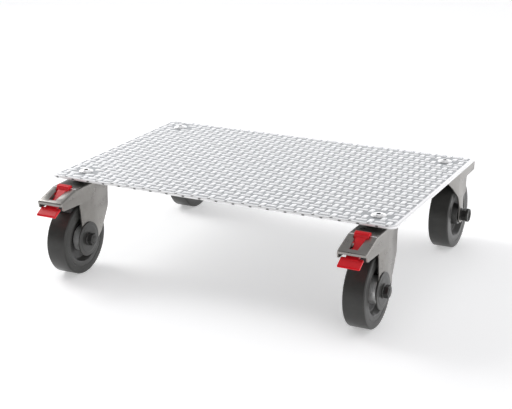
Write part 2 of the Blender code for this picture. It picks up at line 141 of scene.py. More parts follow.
SIDE_SHARE = 0.49  # the most of a side that one fillet may take


def filleted(corners, closed=True, step_degrees=12.0):
    """Points of an outline whose corners are (u, w, radius). An open outline keeps its two ends."""
    points = []
    count = len(corners)
    for index, (u, w, radius) in enumerate(corners):
        here = Vector((u, w))
        at_end = not closed and index in (0, count - 1)
        if radius <= 0.0 or at_end:
            points.append(here)
            continue
        before = Vector(corners[index - 1][:2])
        after = Vector(corners[(index + 1) % count][:2])
        back = (before - here).normalized()
        ahead = (after - here).normalized()
        half = back.angle(ahead) / 2.0
        shorter = min((before - here).length, (after - here).length)
        reach = min(radius / math.tan(half), SIDE_SHARE * shorter)
        radius = reach * math.tan(half)
        centre = here + (back + ahead).normalized() * (radius / math.sin(half))
        arm = here + back * reach - centre
        sweep = arm.angle_signed(here + ahead * reach - centre)
        steps = max(2, round(abs(math.degrees(sweep)) / step_degrees))
        for step in range(steps + 1):
            points.append(centre + Matrix.Rotation(-sweep * step / steps, 2) @ arm)
    return points


def turned(corners, steps=ROUND_STEPS, closed=True):
    """A shape turned about X. Each corner of its section is (radius, x, fillet radius)."""
    section = filleted(corners, closed=closed, step_degrees=22.5)
    count = len(section)
    shape = bmesh.new()
    rings = []
    for step in range(steps):
        angle = 2.0 * math.pi * step / steps
        rings.append([shape.verts.new((x, radius * math.cos(angle), radius * math.sin(angle)))
                      for radius, x in section])
    for step in range(steps):
        here, following = rings[step], rings[(step + 1) % steps]
        for index in range(count if closed else count - 1):
            ahead = (index + 1) % count
            shape.faces.new((here[index], here[ahead], following[ahead], following[index]))
    bmesh.ops.remove_doubles(shape, verts=shape.verts, dist=0.001 * MM)
    return to_mesh(shape)


def prism(outline, low, high, edge=0.0):
    """An outline in (Y, Z) extruded along X from low to high, its rims bevelled by edge."""
    shape = bmesh.new()
    face = shape.faces.new([shape.verts.new((low, u, w)) for u, w in outline])
    drawn = bmesh.ops.extrude_face_region(shape, geom=[face])
    raised = [item for item in drawn["geom"] if isinstance(item, bmesh.types.BMVert)]
    bmesh.ops.translate(shape, verts=raised, vec=(high - low, 0.0, 0.0))
    if edge > 0.0:
        rims = [e for e in shape.edges if abs(e.verts[0].co.x - e.verts[1].co.x) < 0.01 * MM]
        bmesh.ops.bevel(shape, geom=rims, offset=edge, segments=2, profile=0.5, affect="EDGES")
    return to_mesh(shape)


def hexagon(across_flats, low, high, chamfer):
    """A hexagonal prism along X with its outer corners turned off, as on a nut."""
    corner = across_flats / math.sqrt(3.0)
    outline = [(corner * math.cos(math.radians(60 * i)), corner * math.sin(math.radians(60 * i)))
               for i in range(6)]
    body = prism(outline, low, high)
    cone = turned([(0.0, low, 0.0), (corner + MM, low, 0.0), (corner + MM, high - chamfer, 0.0),
                   (corner - 1.8 * chamfer, high, 0.0), (0.0, high, 0.0)], steps=48, closed=False)
    return combined(body, cone, "INTERSECT")


def moved(mesh, matrix):
    copy = mesh.copy()
    copy.transform(matrix)
    return copy


def shift(x=0.0, y=0.0, z=0.0):
    return Matrix.Translation((x, y, z))


ON_AXLE = shift(y=TRAIL, z=WHEEL_RADIUS)
UPRIGHT = Matrix.Rotation(math.radians(-90.0), 4, "Y")
FORWARD = Matrix.Rotation(math.radians(-90.0), 4, "Z")
MIRROR_X = Matrix.Scale(-1.0, 4, (1.0, 0.0, 0.0))


# ---------------------------------------------------------------- materials

def node(tree, kind, **values):
    made = tree.nodes.new(kind)
    for key, value in values.items():
        if hasattr(made, key):
            setattr(made, key, value)
        else:
            made.inputs[key.replace("_", " ")].default_value = value
    return made


TONE_STOPS = (0.3, 0.7)
ROUGHNESS_SPREAD = (-0.05, 0.06)
BUMP_DISTANCE = 0.2 * MM
PLAIN_SPECULAR = 0.5


def surface(name, low, high, roughness, metallic=0.0, grain=60.0, bump=0.1, stretch=(1.0, 1.0, 1.0),
            bump_grain=None, specular=PLAIN_SPECULAR):
    """A Principled material whose colour and roughness vary between two tones with the grain."""
    material = bpy.data.materials.new(name)
    material.use_nodes = True
    tree = material.node_tree
    shader = tree.nodes["Principled BSDF"]
    shader.inputs["Metallic"].default_value = metallic
    shader.inputs["Specular IOR Level"].default_value = specular
    place = node(tree, "ShaderNodeTexCoord")
    mapping = node(tree, "ShaderNodeMapping")
    mapping.inputs["Scale"].default_value = stretch
    tree.links.new(place.outputs["Object"], mapping.inputs["Vector"])
    clouds = node(tree, "ShaderNodeTexNoise", Scale=grain, Detail=5.0, Roughness=0.6)
    tree.links.new(mapping.outputs["Vector"], clouds.inputs["Vector"])
    tones = node(tree, "ShaderNodeValToRGB")
    for element, position, tone in zip(tones.color_ramp.elements, TONE_STOPS, (low, high)):
        element.position = position
        element.color = (*tone, 1.0)
    tree.links.new(clouds.outputs["Fac"], tones.inputs["Fac"])
    tree.links.new(tones.outputs["Color"], shader.inputs["Base Color"])
    sheen = node(tree, "ShaderNodeMapRange")
    sheen.inputs["To Min"].default_value = roughness + ROUGHNESS_SPREAD[0]
    sheen.inputs["To Max"].default_value = roughness + ROUGHNESS_SPREAD[1]
    tree.links.new(clouds.outputs["Fac"], sheen.inputs["Value"])
    tree.links.new(sheen.outputs["Result"], shader.inputs["Roughness"])
    pores = node(tree, "ShaderNodeTexNoise", Scale=bump_grain or grain * 8.0, Detail=3.0)
    tree.links.new(mapping.outputs["Vector"], pores.inputs["Vector"])
    relief = node(tree, "ShaderNodeBump", Strength=bump, Distance=BUMP_DISTANCE)
    tree.links.new(pores.outputs["Fac"], relief.inputs["Height"])
    tree.links.new(relief.outputs["Normal"], shader.inputs["Normal"])
    return material


BAR_ALUMINIUM = surface("tread_bar_aluminium", (0.90, 0.91, 0.92), (0.97, 0.97, 0.97), 0.32, 0.25,
                        grain=40, bump=0.15)
EDGE_ALUMINIUM = surface("plate_edge_aluminium", (0.90, 0.90, 0.90), (0.96, 0.96, 0.96), 0.25, 0.3,
                         grain=30, bump=0.06, stretch=(1, 6, 6))
# Painted shade: the ground between the bars is far darker than the bars and the rim
GROUND_PAINTED_SHADE = surface("plate_ground_painted_shade", (0.25, 0.262, 0.272), (0.35, 0.365, 0.38), 0.36, 0.5,
                           grain=22, bump=0.12, stretch=(1, 3, 1))
# Painted shade: the plate's underside is darkened for the shade under the deck
UNDERSIDE_PAINTED_SHADE = surface("plate_underside_painted_shade", (0.17, 0.17, 0.17), (0.24, 0.24, 0.24), 0.45, 0.6,
                    grain=14, bump=0.10, stretch=(1, 5, 1))
ZINC = surface("zinc_plated_sheet", (0.285, 0.273, 0.258), (0.335, 0.322, 0.303), 0.28, 0.85,
               grain=35, bump=0.02, bump_grain=420)
# Painted highlight: a near-white band along the visor's first bend
BEND_PAINTED_HIGHLIGHT = surface("bend_painted_highlight", (0.95, 0.95, 0.95), (0.98, 0.98, 0.98), 0.22, 0.05, grain=40,
                    bump=0.02)
HEAD_ZINC = surface("zinc_head_plate", (0.20, 0.195, 0.185), (0.27, 0.26, 0.25), 0.40, 0.8, grain=50)
DARK_STEEL = surface("phosphated_steel", (0.030, 0.030, 0.029), (0.055, 0.055, 0.052), 0.30, 0.35,
                     grain=70, bump=0.12)
# Painted shadow: grey for the small dark dots along the deck's front edge
SHADOW_DOT_PAINTED_GREY = surface("shadow_dot_painted_grey", (0.13, 0.13, 0.13), (0.20, 0.20, 0.20), 0.40, 0.4, grain=90)
SOCKET_DARK = surface("socket_shadow", (0.020, 0.020, 0.020), (0.035, 0.035, 0.035), 0.60, 0.2, grain=90)
BRIGHT_STEEL = surface("bright_steel", (0.55, 0.55, 0.56), (0.68, 0.68, 0.69), 0.25, 1.0, grain=60,
                       stretch=(1, 1, 5))
BOLT_HEAD = surface("bright_bolt_head", (0.86, 0.86, 0.86), (0.94, 0.94, 0.94), 0.28, 0.4, grain=50)
BEARING_STEEL = surface("bearing_steel", (0.62, 0.62, 0.61), (0.74, 0.74, 0.73), 0.30, 0.55, grain=80)
NYLON = surface("grey_nylon", (0.039, 0.039, 0.037), (0.052, 0.052, 0.049), 0.32, grain=30, bump=0.12,
                bump_grain=600)
TYRE = surface("grey_tyre", (0.034, 0.034, 0.032), (0.047, 0.047, 0.044), 0.34, grain=25, bump=0.14,
               bump_grain=900, specular=0.36)
RED = surface("red_plastic", (0.68, 0.008, 0.015), (0.78, 0.012, 0.021), 0.30, grain=28, bump=0.08,
              bump_grain=700, specular=0.30)
RUBBER = surface("black_rubber", (0.018, 0.018, 0.018), (0.035, 0.035, 0.035), 0.75, grain=60, bump=0.3)

CAD_FINISHES = {
    "king_nut": BRIGHT_STEEL, "ball_race": BEARING_STEEL, "roller_bearing": BEARING_STEEL,
    "axle_sleeve": BRIGHT_STEEL, "lever_pin": BRIGHT_STEEL, "brake_shoe": RUBBER,
    "detent_spring": BRIGHT_STEEL,
}


# ---------------------------------------------------------------- deck

TREAD_PITCH = 24.4 * MM
TREAD_COLUMNS = 40
TREAD_ROWS = 27
TREAD_START_X = -0.5 * (TREAD_COLUMNS - 1) * TREAD_PITCH
BAR_LENGTH = 27.4 * MM
BAR_WIDTH = 12.8 * MM
BAR_HEIGHT = 0.9 * MM
BAR_CORNER = 4.5 * MM
BAR_CORNER_EASE = 0.6
BAR_SECTION = ((0.0, -0.05 * MM), (1.1 * MM, 0.62 * BAR_HEIGHT), (2.4 * MM, BAR_HEIGHT))
DECK_CORNER = 22 * MM
LEAST_CORNER = 4 * MM
BOLT_CLEARANCE = 30 * MM
FRONT_MARGIN = 12 * MM
EDGE_ROUND = 0.9 * MM
EDGE_MIDDLE = 0.3 * EDGE_ROUND
RIM_WIDTH = 10.5 * MM
SHADOW_DOT_INSET = 6 * MM
SHADOW_DOT_LENGTHENED = 2.0
SHADOW_DOT_WIDENED = 2.3


def deck_outline(inset):
    radius = DECK_CORNER - min(inset, DECK_CORNER - LEAST_CORNER)
    west, east = DECK_LOW.x + inset, DECK_HIGH.x - inset
    south, north = DECK_LOW.y + inset, DECK_HIGH.y - inset
    return filleted([(west, south, radius), (east, south, radius), (east, north, radius),
                     (west, north, radius)], step_degrees=7.5)


def deck_piece():
    """The plate: a bright rim and edge round a ground darkened with painted shade between the bars, over an
    underside darkened with painted shade.
    """
    shape = bmesh.new()
    levels = [(EDGE_ROUND, DECK_LOW.z), (EDGE_MIDDLE, DECK_LOW.z + EDGE_MIDDLE),
              (0.0, DECK_LOW.z + EDGE_ROUND), (0.0, DECK_TOP - EDGE_ROUND),
              (EDGE_MIDDLE, DECK_TOP - EDGE_MIDDLE), (EDGE_ROUND, DECK_TOP), (RIM_WIDTH, DECK_TOP)]
    rings = [[shape.verts.new((x, y, z)) for x, y in deck_outline(inset)] for inset, z in levels]
    count = len(rings[0])
    for lower, upper in zip(rings, rings[1:]):
        for index in range(count):
            ahead = (index + 1) % count
            shape.faces.new((lower[index], lower[ahead], upper[ahead], upper[index]))
    underside = shape.faces.new(rings[0])
    underside.material_index = 2
    ground = shape.faces.new(rings[-1])
    ground.material_index = 1
    piece = finished_object("deck_tread_plate", to_mesh(shape), EDGE_ALUMINIUM)
    piece.data.materials.append(GROUND_PAINTED_SHADE)
    piece.data.materials.append(UNDERSIDE_PAINTED_SHADE)
    return piece


def bar_rings():
    """Sections of one raised bar lying along X, from its foot up: (outline, height)."""
    rings = []
    for inset, height in BAR_SECTION:
        u, w = 0.5 * BAR_LENGTH - inset, 0.5 * BAR_WIDTH - inset
        radius = BAR_CORNER - BAR_CORNER_EASE * inset
        outline = filleted([(-u, -w, radius), (u, -w, radius), (u, w, radius), (-u, w, radius)],
                           step_degrees=30.0)
        rings.append((outline, height))
    return rings


def tread_centres():
    """Centre of each cell of the tread, and whether its bar lies along X."""
    start_y = DECK_LOW.y + FRONT_MARGIN + 0.5 * TREAD_PITCH
    bolts = [Vector(JOINTS[name]["pos_m"][:2]) for name in JOINTS if name.endswith("swivel_turn")]
    for row in range(TREAD_ROWS):
        for column in range(TREAD_COLUMNS):
            centre = Vector((TREAD_START_X + column * TREAD_PITCH, start_y + row * TREAD_PITCH))
            if min((centre - bolt).length for bolt in bolts) > BOLT_CLEARANCE:
                yield centre, (row + column) % 2 == 0


def tread_piece():
    rings = bar_rings()
    sides = len(rings[0][0])
    points = []
    faces = []
    for centre, along_x in tread_centres():
        first = len(points)
        for outline, height in rings:
            for u, w in outline:
                x, y = (u, w) if along_x else (-w, u)
                points.append((centre.x + x, centre.y + y, DECK_TOP + height))
        for level in range(len(rings) - 1):
            base = first + level * sides
            for index in range(sides):
                ahead = (index + 1) % sides
                faces.append((base + index, base + ahead, base + sides + ahead,
                              base + sides + index))
        faces.append([first + index for index in reversed(range(sides))])
        faces.append([first + (len(rings) - 1) * sides + index for index in range(sides)])
    mesh = bpy.data.meshes.new("tread")
    mesh.from_pydata(points, [], faces)
    return finished_object("deck_tread_bars", mesh, BAR_ALUMINIUM, degrees=28.0)


def shadow_dots_piece():
    """Small grey oval domes along the front, their grey a painted shadow: one row in the rim, and one in the
    edge face.
    """
    dome = turned([(0.0, 0.6 * MM, 0.0), (1.4 * MM, 0.5 * MM, 0.0), (2.1 * MM, 0.2 * MM, 0.0),
                   (2.2 * MM, -0.3 * MM, 0.0), (0.0, -0.3 * MM, 0.0)], steps=20, closed=False)
    facing_up = moved(dome, Matrix.Diagonal((SHADOW_DOT_LENGTHENED, SHADOW_DOT_WIDENED, 1.0, 1.0)) @ UPRIGHT)
    facing_front = moved(dome, Matrix.Diagonal((SHADOW_DOT_LENGTHENED, 1.0, 1.0, 1.0)) @ FORWARD)
    shape = bmesh.new()
    for column in range(TREAD_COLUMNS):
        x = TREAD_START_X + column * TREAD_PITCH
        if column % 2:
            shape.from_mesh(moved(facing_up, shift(x, DECK_LOW.y + SHADOW_DOT_INSET, DECK_TOP)))
        else:
            shape.from_mesh(moved(facing_front, shift(x, DECK_LOW.y, (DECK_LOW.z + DECK_TOP) / 2.0)))
    return finished_object("deck_edge_shadow_dots", to_mesh(shape), SHADOW_DOT_PAINTED_GREY)


def build_deck():
    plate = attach(deck_piece(), "deck")
    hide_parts("deck_plate")
    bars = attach(tread_piece(), "deck")
    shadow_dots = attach(shadow_dots_piece(), "deck")


# ---------------------------------------------------------------- fork

CREASE = 25 * MM
CREASE_ROUND = 2.5 * MM
CREASE_SLOPE = 0.085
CREASE_FADE = 25 * MM
WINDOW_START = 96 * MM
WINDOW_SHOULDER = 121.5 * MM
WINDOW_NECK = 126 * MM
WINDOW_END = 168 * MM
WINDOW_WIDE = 20.6 * MM
WINDOW_MIDDLE = 14.8 * MM
WINDOW_NARROW = 10.8 * MM
BEND_STEPS = 6
CHEEK_LEVELS = [(75 + 15 * step) * MM for step in range(12)]
SLIVER_AREA = 1e-12


def braked_foot():
    """Lower edge of a front fork's cheek from the visor's lip to the skirt: (y, z, fillet radius)."""
    return [
        (0.1745, 0.2110, 0.006), (0.0940, 0.2080, 0.008), (0.0880, 0.1500, 0.060),
        (0.0860, 0.0720, 0.020), (0.0400, 0.0700, 0.022), (-0.0120, 0.1000, 0.040),
        (-0.0540, 0.1620, 0.030), (-0.0560, 0.2220, 0.010), (-0.0720, 0.2340, 0.0),
    ]


def plain_foot():
    """The same for a rear fork, whose cheek has a hollow curve on its leading side."""
    return [
        (0.1745, 0.2080, 0.006), (0.0980, 0.2065, 0.006), (0.0970, 0.1600, 0.004),
        (0.0760, 0.1540, 0.004), (0.0760, 0.1200, 0.020), (0.0840, 0.1040, 0.020),
        (0.0840, 0.0760, 0.020), (0.0400, 0.0760, 0.020),
        (0.0440, 0.1180, 0.050), (0.0300, 0.1580, 0.090), (-0.0220, 0.2000, 0.090),
        (-0.0700, 0.2320, 0.004),
    ]


def crown_path():
    """The crown's section: leading skirt, flat crown, sloping visor and lip."""
    path = filleted([
        (CROWN_LEAD, SKIRT_BOTTOM, 0.0), (CROWN_LEAD, CROWN_TOP, CROWN_LEAD_BEND),
        (VISOR_START, CROWN_TOP, VISOR_START_BEND), (VISOR_END, VISOR_END_Z, VISOR_END_BEND),
        (VISOR_END, LIP_BOTTOM, 0.0),
    ], closed=False, step_degrees=11.0)
    stations = [WINDOW_START, WINDOW_SHOULDER, WINDOW_NECK, WINDOW_END]
    full = [path[0]]
    for start, finish in zip(path, path[1:]):
        for station in stations:
            if start.x + MM / 10 < station < finish.x - MM / 10:
                share = (station - start.x) / (finish.x - start.x)
                full.append(start.lerp(finish, share))
        full.append(finish)
    return full


def path_normals(path):
    normals = []
    for index in range(len(path)):
        before = path[max(0, index - 1)]
        after = path[min(len(path) - 1, index + 1)]
        along = (after - before).normalized()
        normals.append(Vector((-along.y, along.x)))
    return normals


def between(v, start, finish, first, last):
    share = min(1.0, max(0.0, (v - start) / (finish - start)))
    return first + share * (last - first)


def window_half(v):
    if v <= WINDOW_NECK:
        return between(v, WINDOW_SHOULDER, WINDOW_NECK, WINDOW_WIDE, WINDOW_MIDDLE)
    return between(v, WINDOW_NECK, WINDOW_END, WINDOW_MIDDLE, WINDOW_NARROW)


def sheet_columns(path):
    """Lines of points along the crown's section, from the foot of one side bend to that of the other."""
    normals = path_normals(path)
    columns = []
    for side in (-1, 1):
        bends = []
        for step in range(BEND_STEPS, -1, -1):
            angle = math.radians(90.0 * step / BEND_STEPS)
            x = side * (CROWN_HALF_WIDTH + CHEEK_BEND * math.sin(angle))
            drop = CHEEK_BEND * (1.0 - math.cos(angle))
            bends.append([(x, p.x - n.x * drop, p.y - n.y * drop) for p, n in zip(path, normals)])
        inner = [(side * window_half(p.x), p.x, p.y) for p in path]
        columns += bends + [inner] if side < 0 else [inner] + bends[::-1]
    return columns


def lower_edge(column, foot):
    """The cheek's lower edge, rounded between the two ends of its bend line."""
    last, first = column[-1].co, column[0].co
    corners = [(last.y, last.z, 0.0)] + foot + [(first.y, first.z, 0.0)]
    return filleted(corners, closed=False, step_degrees=9.0)[1:-1]


def cut_sheet(shape, point, normal):
    everything = list(shape.verts) + list(shape.edges) + list(shape.faces)
    bmesh.ops.bisect_plane(shape, geom=everything, dist=0.002 * MM, plane_co=point, plane_no=normal)


def press_crease(shape):
    """Leans each cheek inwards ahead of an upright crease, fading out towards the crown."""
    for step in range(-2, 3):
        cut_sheet(shape, (0.0, CREASE + CREASE_ROUND * step / 2.0, 0.0), (0.0, 1.0, 0.0))
    for z in CHEEK_LEVELS:
        cut_sheet(shape, (0.0, 0.0, z), (0.0, 0.0, 1.0))
    for vertex in shape.verts:
        x, v, z = vertex.co
        past = CREASE - v
        if abs(x) < CROWN_HALF_WIDTH + 0.5 * CHEEK_BEND or past < -CREASE_ROUND:
            continue
        depth = CREASE_SLOPE * (max(0.0, past) if abs(past) > CREASE_ROUND
                                else (past + CREASE_ROUND) ** 2 / (4.0 * CREASE_ROUND))
        fade = min(1.0, max(0.0, (CROWN_TOP - z) / CREASE_FADE))
        vertex.co.x -= math.copysign(depth * fade * fade * (3.0 - 2.0 * fade), x)


def open_sheet(foot, braked):
    """The crown, bends and cheeks of a fork as one sheet without thickness, facing outwards."""
    shape = bmesh.new()
    path = crown_path()
    grid = [[shape.verts.new(point) for point in column] for column in sheet_columns(path)]
    middle = BEND_STEPS + 1
    for column in range(len(grid) - 1):
        for row in range(len(path) - 1):
            centre = (path[row].x + path[row + 1].x) / 2.0
            in_window = WINDOW_START < centre < WINDOW_END
            if braked and column == middle and in_window:
                continue
            shape.faces.new((grid[column][row], grid[column][row + 1],
                             grid[column + 1][row + 1], grid[column + 1][row]))
    for column in (grid[0], grid[-1]):
        x = column[0].co.x
        lower = [shape.verts.new((x, v, z)) for v, z in lower_edge(column, foot)]
        shape.faces.new(list(column) + lower)
    for face in list(shape.faces):
        if face.calc_area() < SLIVER_AREA:
            shape.faces.remove(face)
    press_crease(shape)
    bmesh.ops.recalc_face_normals(shape, faces=shape.faces)
    crown = max(shape.faces, key=lambda face: face.calc_center_median().z)
    if crown.normal.z < 0.0:
        bmesh.ops.reverse_faces(shape, faces=shape.faces)
    mesh = bpy.data.meshes.new("fork")
    shape.to_mesh(mesh)
    shape.free()
    return mesh


def fork_mesh(foot, braked):
    """A pressed fork of even thickness, drilled for the king bolt; its visor's bend is slot 1, a painted
    highlight.
    """
    sheet = with_modifiers(
        open_sheet(foot, braked),
        ("SOLIDIFY", {"thickness": SHEET, "offset": -1.0, "use_even_offset": True}),
        ("BEVEL", {"width": SHEET_EDGE, "segments": 2, "limit_method": "ANGLE",
                   "angle_limit": math.radians(50.0)}))
    low, high = CROWN_TOP - 4.0 * SHEET, CROWN_TOP + 4.0 * SHEET
    king_hole = turned([(0.0, low, 0.0), (KING_HOLE, low, 0.0), (KING_HOLE, high, 0.0),
                        (0.0, high, 0.0)], steps=48, closed=False)
    fork = combined(sheet, moved(king_hole, UPRIGHT), "DIFFERENCE")
    # slot 1 is a painted highlight on the crown's faces along the visor's first bend
    for face in fork.polygons:
        on_bend = abs(face.center.y - VISOR_START) < BEND_PAINTED_HIGHLIGHT_HALF and face.normal.z > 0.5
        on_crown = abs(face.center.x) < CROWN_HALF_WIDTH + 0.5 * CHEEK_BEND
        face.material_index = int(on_bend and on_crown)
    return fork


# ---------------------------------------------------------------- wheel, axle and covers

def mirrored(side):
    return [(radius, -x, fillet) for radius, x, fillet in reversed(side)]


def tyre_mesh():
    side = [(79.9 * MM, 28.8 * MM, 0.5 * MM), (97.4 * MM, 29.0 * MM, 1.4 * MM),
            (WHEEL_RADIUS, 26.0 * MM, 1.6 * MM)]
    return moved(turned(side + mirrored(side)), ON_AXLE)


def wheel_centre_mesh():
    """Hub, thin web and rim in one moulding, with a soft fillet at every change of section."""
    side = [(19.4 * MM, 33.2 * MM, 0.4 * MM), (29.0 * MM, 33.4 * MM, 1.2 * MM),
            (32.0 * MM, 12.5 * MM, 4 * MM), (57.5 * MM, 11.5 * MM, 3 * MM),
            (65.5 * MM, 28.0 * MM, 2.0 * MM), (79.6 * MM, 28.4 * MM, 0.4 * MM)]
    return moved(turned(side + mirrored(side)), ON_AXLE)


def hub_ring_mesh():
    """Bright steel sleeves over both ends of a braked wheel's hub."""
    side = [(30.1 * MM, 33.3 * MM, 0.5 * MM), (34.0 * MM, 33.3 * MM, 2.0 * MM),
            (37.0 * MM, 14.0 * MM, 2.0 * MM), (30.1 * MM, 13.4 * MM, 0.5 * MM)]
    ring = turned(side)
    shape = bmesh.new()
    shape.from_mesh(ring)
    shape.from_mesh(moved(ring, MIRROR_X))
    return moved(to_mesh(shape), ON_AXLE)


def cover_mesh():
    """Guard disc over the foot of a braked fork's leg, on the +X side."""
    inner = PLAIN_SEAT
    outer = inner + COVER_THICKNESS
    rim = outer - 0.8 * MM
    return moved(turned([(10.4 * MM, inner, 0.3 * MM), (10.4 * MM, outer, 0.3 * MM),
                         (36 * MM, outer, 1.5 * MM), (39 * MM, rim, 1.5 * MM),
                         (47.8 * MM, rim, 1.8 * MM), (47.8 * MM, inner, 0.3 * MM)]), ON_AXLE)


def axle_bolt_mesh(seat):
    """Bolt whose hexagon head sits on the -X side, over a washer face."""
    end = AXLE_BOLT_END
    shank = turned([(0.0, end, 0.0), (8.6 * MM, end, 0.8 * MM), (9.9 * MM, end - 2 * MM, 0.8 * MM),
                    (9.9 * MM, -seat, 0.0), (18.6 * MM, -seat, 0.5 * MM),
                    (18.6 * MM, -seat - 3 * MM, 0.8 * MM), (0.0, -seat - 3 * MM, 0.0)],
                   steps=SMALL_ROUND_STEPS, closed=False)
    head = moved(hexagon(AXLE_FLATS, seat + MM, seat + 14.3 * MM, AXLE_CHAMFER), MIRROR_X)
    head.flip_normals()
    return moved(combined(shank, head, "UNION"), ON_AXLE)


def axle_nut_mesh(seat, capped):
    """Flanged hexagon nut on the +X end of the axle bolt. A capped nut ends in a dished collar."""
    flange = turned([(0.0, seat, 0.0), (18.8 * MM, seat, 0.4 * MM), (18.8 * MM, seat + 2 * MM, 0.8 * MM),
                     (16.5 * MM, seat + 3.4 * MM, 0.8 * MM), (0.0, seat + 3.4 * MM, 0.0)],
                    steps=SMALL_ROUND_STEPS, closed=False)
    body = hexagon(AXLE_FLATS, seat + MM, seat + 15.2 * MM, AXLE_CHAMFER)
    if capped:
        low, dish, high = seat + 14.5 * MM, seat + 21.4 * MM, seat + 23.6 * MM
        collar = turned([(0.0, low, 0.0), (17.0 * MM, low, 0.6 * MM), (19.4 * MM, low + 2 * MM, 1.0 * MM),
                         (19.4 * MM, high, 1.0 * MM), (16.4 * MM, high, 0.6 * MM),
                         (15.4 * MM, dish, 0.5 * MM), (0.0, dish, 0.0)],
                        steps=SMALL_ROUND_STEPS, closed=False)
        body = combined(body, collar, "UNION")
    start, finish = seat - 5 * MM, seat + 30 * MM
    bore = turned([(0.0, start, 0.0), (10.2 * MM, start, 0.0), (10.2 * MM, finish, 0.0),
                   (0.0, finish, 0.0)], steps=SMALL_ROUND_STEPS, closed=False)
    return moved(combined(combined(flange, body, "UNION"), bore, "DIFFERENCE"), ON_AXLE)


# ---------------------------------------------------------------- swivel head

SOCKET_FLATS = 11 * MM
KING_SHANK = 6 * MM
KING_STEPS = 96
GROOVE_GAP = 0.6 * MM


def king_bolt_mesh():
    """A flat stepped head with a hexagon socket, which is slot 1, and its shank."""
    low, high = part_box("rear_right_king_bolt")
    seat = DECK_TOP + GAP
    body = turned([(0.0, high.z, 0.0), (10.5 * MM, high.z, 0.5 * MM), (12 * MM, high.z - 1.2 * MM, 0.5 * MM),
                   (12.2 * MM, seat + 2.2 * MM, 0.6 * MM), (19.2 * MM, seat + 2.0 * MM, 0.8 * MM),
                   (20 * MM, seat + 0.8 * MM, 0.5 * MM), (20 * MM, seat, 0.0), (KING_SHANK, seat, 0.0),
                   (KING_SHANK, low.z, 0.6 * MM), (0.0, low.z, 0.0)], steps=KING_STEPS, closed=False)
    socket = hexagon(SOCKET_FLATS, seat + 0.5 * MM, high.z + 3 * MM, 0.1 * MM)
    bolt = combined(body, socket, "DIFFERENCE")
    for face in bolt.polygons:
        across = math.hypot(face.center.y, face.center.z)
        in_socket = across < 0.6 * SOCKET_FLATS and seat < face.center.x < high.z - 0.1 * MM
        face.material_index = int(in_socket)
    return moved(bolt, UPRIGHT)


def head_plate_mesh():
    """The race bolted under the deck, with a groove that clears the balls."""
    low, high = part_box("rear_right_head_plate")
    race_low, race_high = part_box("rear_right_ball_race")
    outer = (race_high.x - race_low.x) / 2.0 + GROOVE_GAP
    inner = outer - (race_high.z - race_low.z) - 2.0 * GROOVE_GAP
    top = race_high.z + GROOVE_GAP
    return moved(turned([(KING_HOLE, high.z, 0.0), (38 * MM, high.z, 0.8 * MM),
                         (38 * MM, low.z + 3 * MM, 2 * MM), (33 * MM, low.z, 1.5 * MM),
                         (outer, low.z, 0.0), (outer, top, 0.8 * MM), (inner, top, 0.8 * MM),
                         (inner, low.z, 0.0), (KING_HOLE, low.z, 0.0)], steps=KING_STEPS), UPRIGHT)


# ---------------------------------------------------------------- brake lever

ALONG_Z = Matrix(((0, 0, 1, 0), (0, 1, 0, 0), (1, 0, 0, 0), (0, 0, 0, 1)))
LEVER_AXIS = shift(y=104 * MM, z=238 * MM)
BOSS_HALF = FORK_HALF_WIDTH - 4.6 * MM
BOSS_RADIUS = 9.8 * MM
THUMB_HALF = 19.5 * MM
PEDAL_HALF = 29 * MM
MOULDED_EDGE = 1.2 * MM
PIN_BORE = 4.3 * MM
REMESH_SIZE = 0.7 * MM


def lever_mesh():
    """One moulding: boss on its pin, thumb bar, tapering neck and broad pedal, with soft edges."""
    boss = moved(turned([(0.0, -BOSS_HALF, 0.0), (BOSS_RADIUS, -BOSS_HALF, MM),
                         (BOSS_RADIUS, BOSS_HALF, MM), (0.0, BOSS_HALF, 0.0)],
                        steps=SMALL_ROUND_STEPS, closed=False), LEVER_AXIS)
    bar = prism(filleted([(0.0995, 0.2400, 0.0), (0.0990, 0.2600, 0.003), (0.1060, 0.2630, 0.004),
                          (0.1165, 0.2600, 0.004), (0.1175, 0.2480, 0.003), (0.1150, 0.2400, 0.0)]),
                -THUMB_HALF, THUMB_HALF, MOULDED_EDGE)
    neck_side = filleted([(0.1080, 0.2440, 0.0), (0.1080, 0.2560, 0.0), (0.1740, 0.2190, 0.008),
                          (0.1800, 0.2150, 0.0), (0.1800, 0.2060, 0.0), (0.1700, 0.2095, 0.008),
                          (0.1180, 0.2380, 0.004)])
    neck = prism(neck_side, -0.030, 0.030)  # wider than the plan that trims it
    taper = filleted([(0.100, -0.0150, 0.0), (0.116, -0.0135, 0.020), (0.150, -0.0090, 0.010),
                      (0.158, -0.0165, 0.006), (0.182, -0.0165, 0.0), (0.182, 0.0165, 0.0),
                      (0.158, 0.0165, 0.006), (0.150, 0.0090, 0.010), (0.116, 0.0135, 0.020),
                      (0.100, 0.0150, 0.0)])
    plan = moved(prism(taper, 0.190, 0.280), ALONG_Z)
    plan.flip_normals()
    neck = combined(neck, plan, "INTERSECT")
    pedal_side = filleted([(0.1705, 0.2110, 0.002), (0.1730, 0.2175, 0.002), (0.1990, 0.2030, 0.0025),
                           (0.2008, 0.1992, 0.0018), (0.1970, 0.1965, 0.002)])
    pedal = prism(pedal_side, -PEDAL_HALF, PEDAL_HALF, MOULDED_EDGE)
    lever = combined(combined(combined(boss, bar, "UNION"), neck, "UNION"), pedal, "UNION")
    soft = with_modifiers(
        lever,
        ("REMESH", {"mode": "VOXEL", "voxel_size": REMESH_SIZE}),
        ("SMOOTH", {"factor": 0.5, "iterations": 3}),
        ("DECIMATE", {"ratio": 0.35}))
    reach = 50 * MM
    pin_bore = moved(turned([(0.0, -reach, 0.0), (PIN_BORE, -reach, 0.0), (PIN_BORE, reach, 0.0),
                             (0.0, reach, 0.0)], steps=32, closed=False), LEVER_AXIS)
    return combined(soft, pin_bore, "DIFFERENCE")


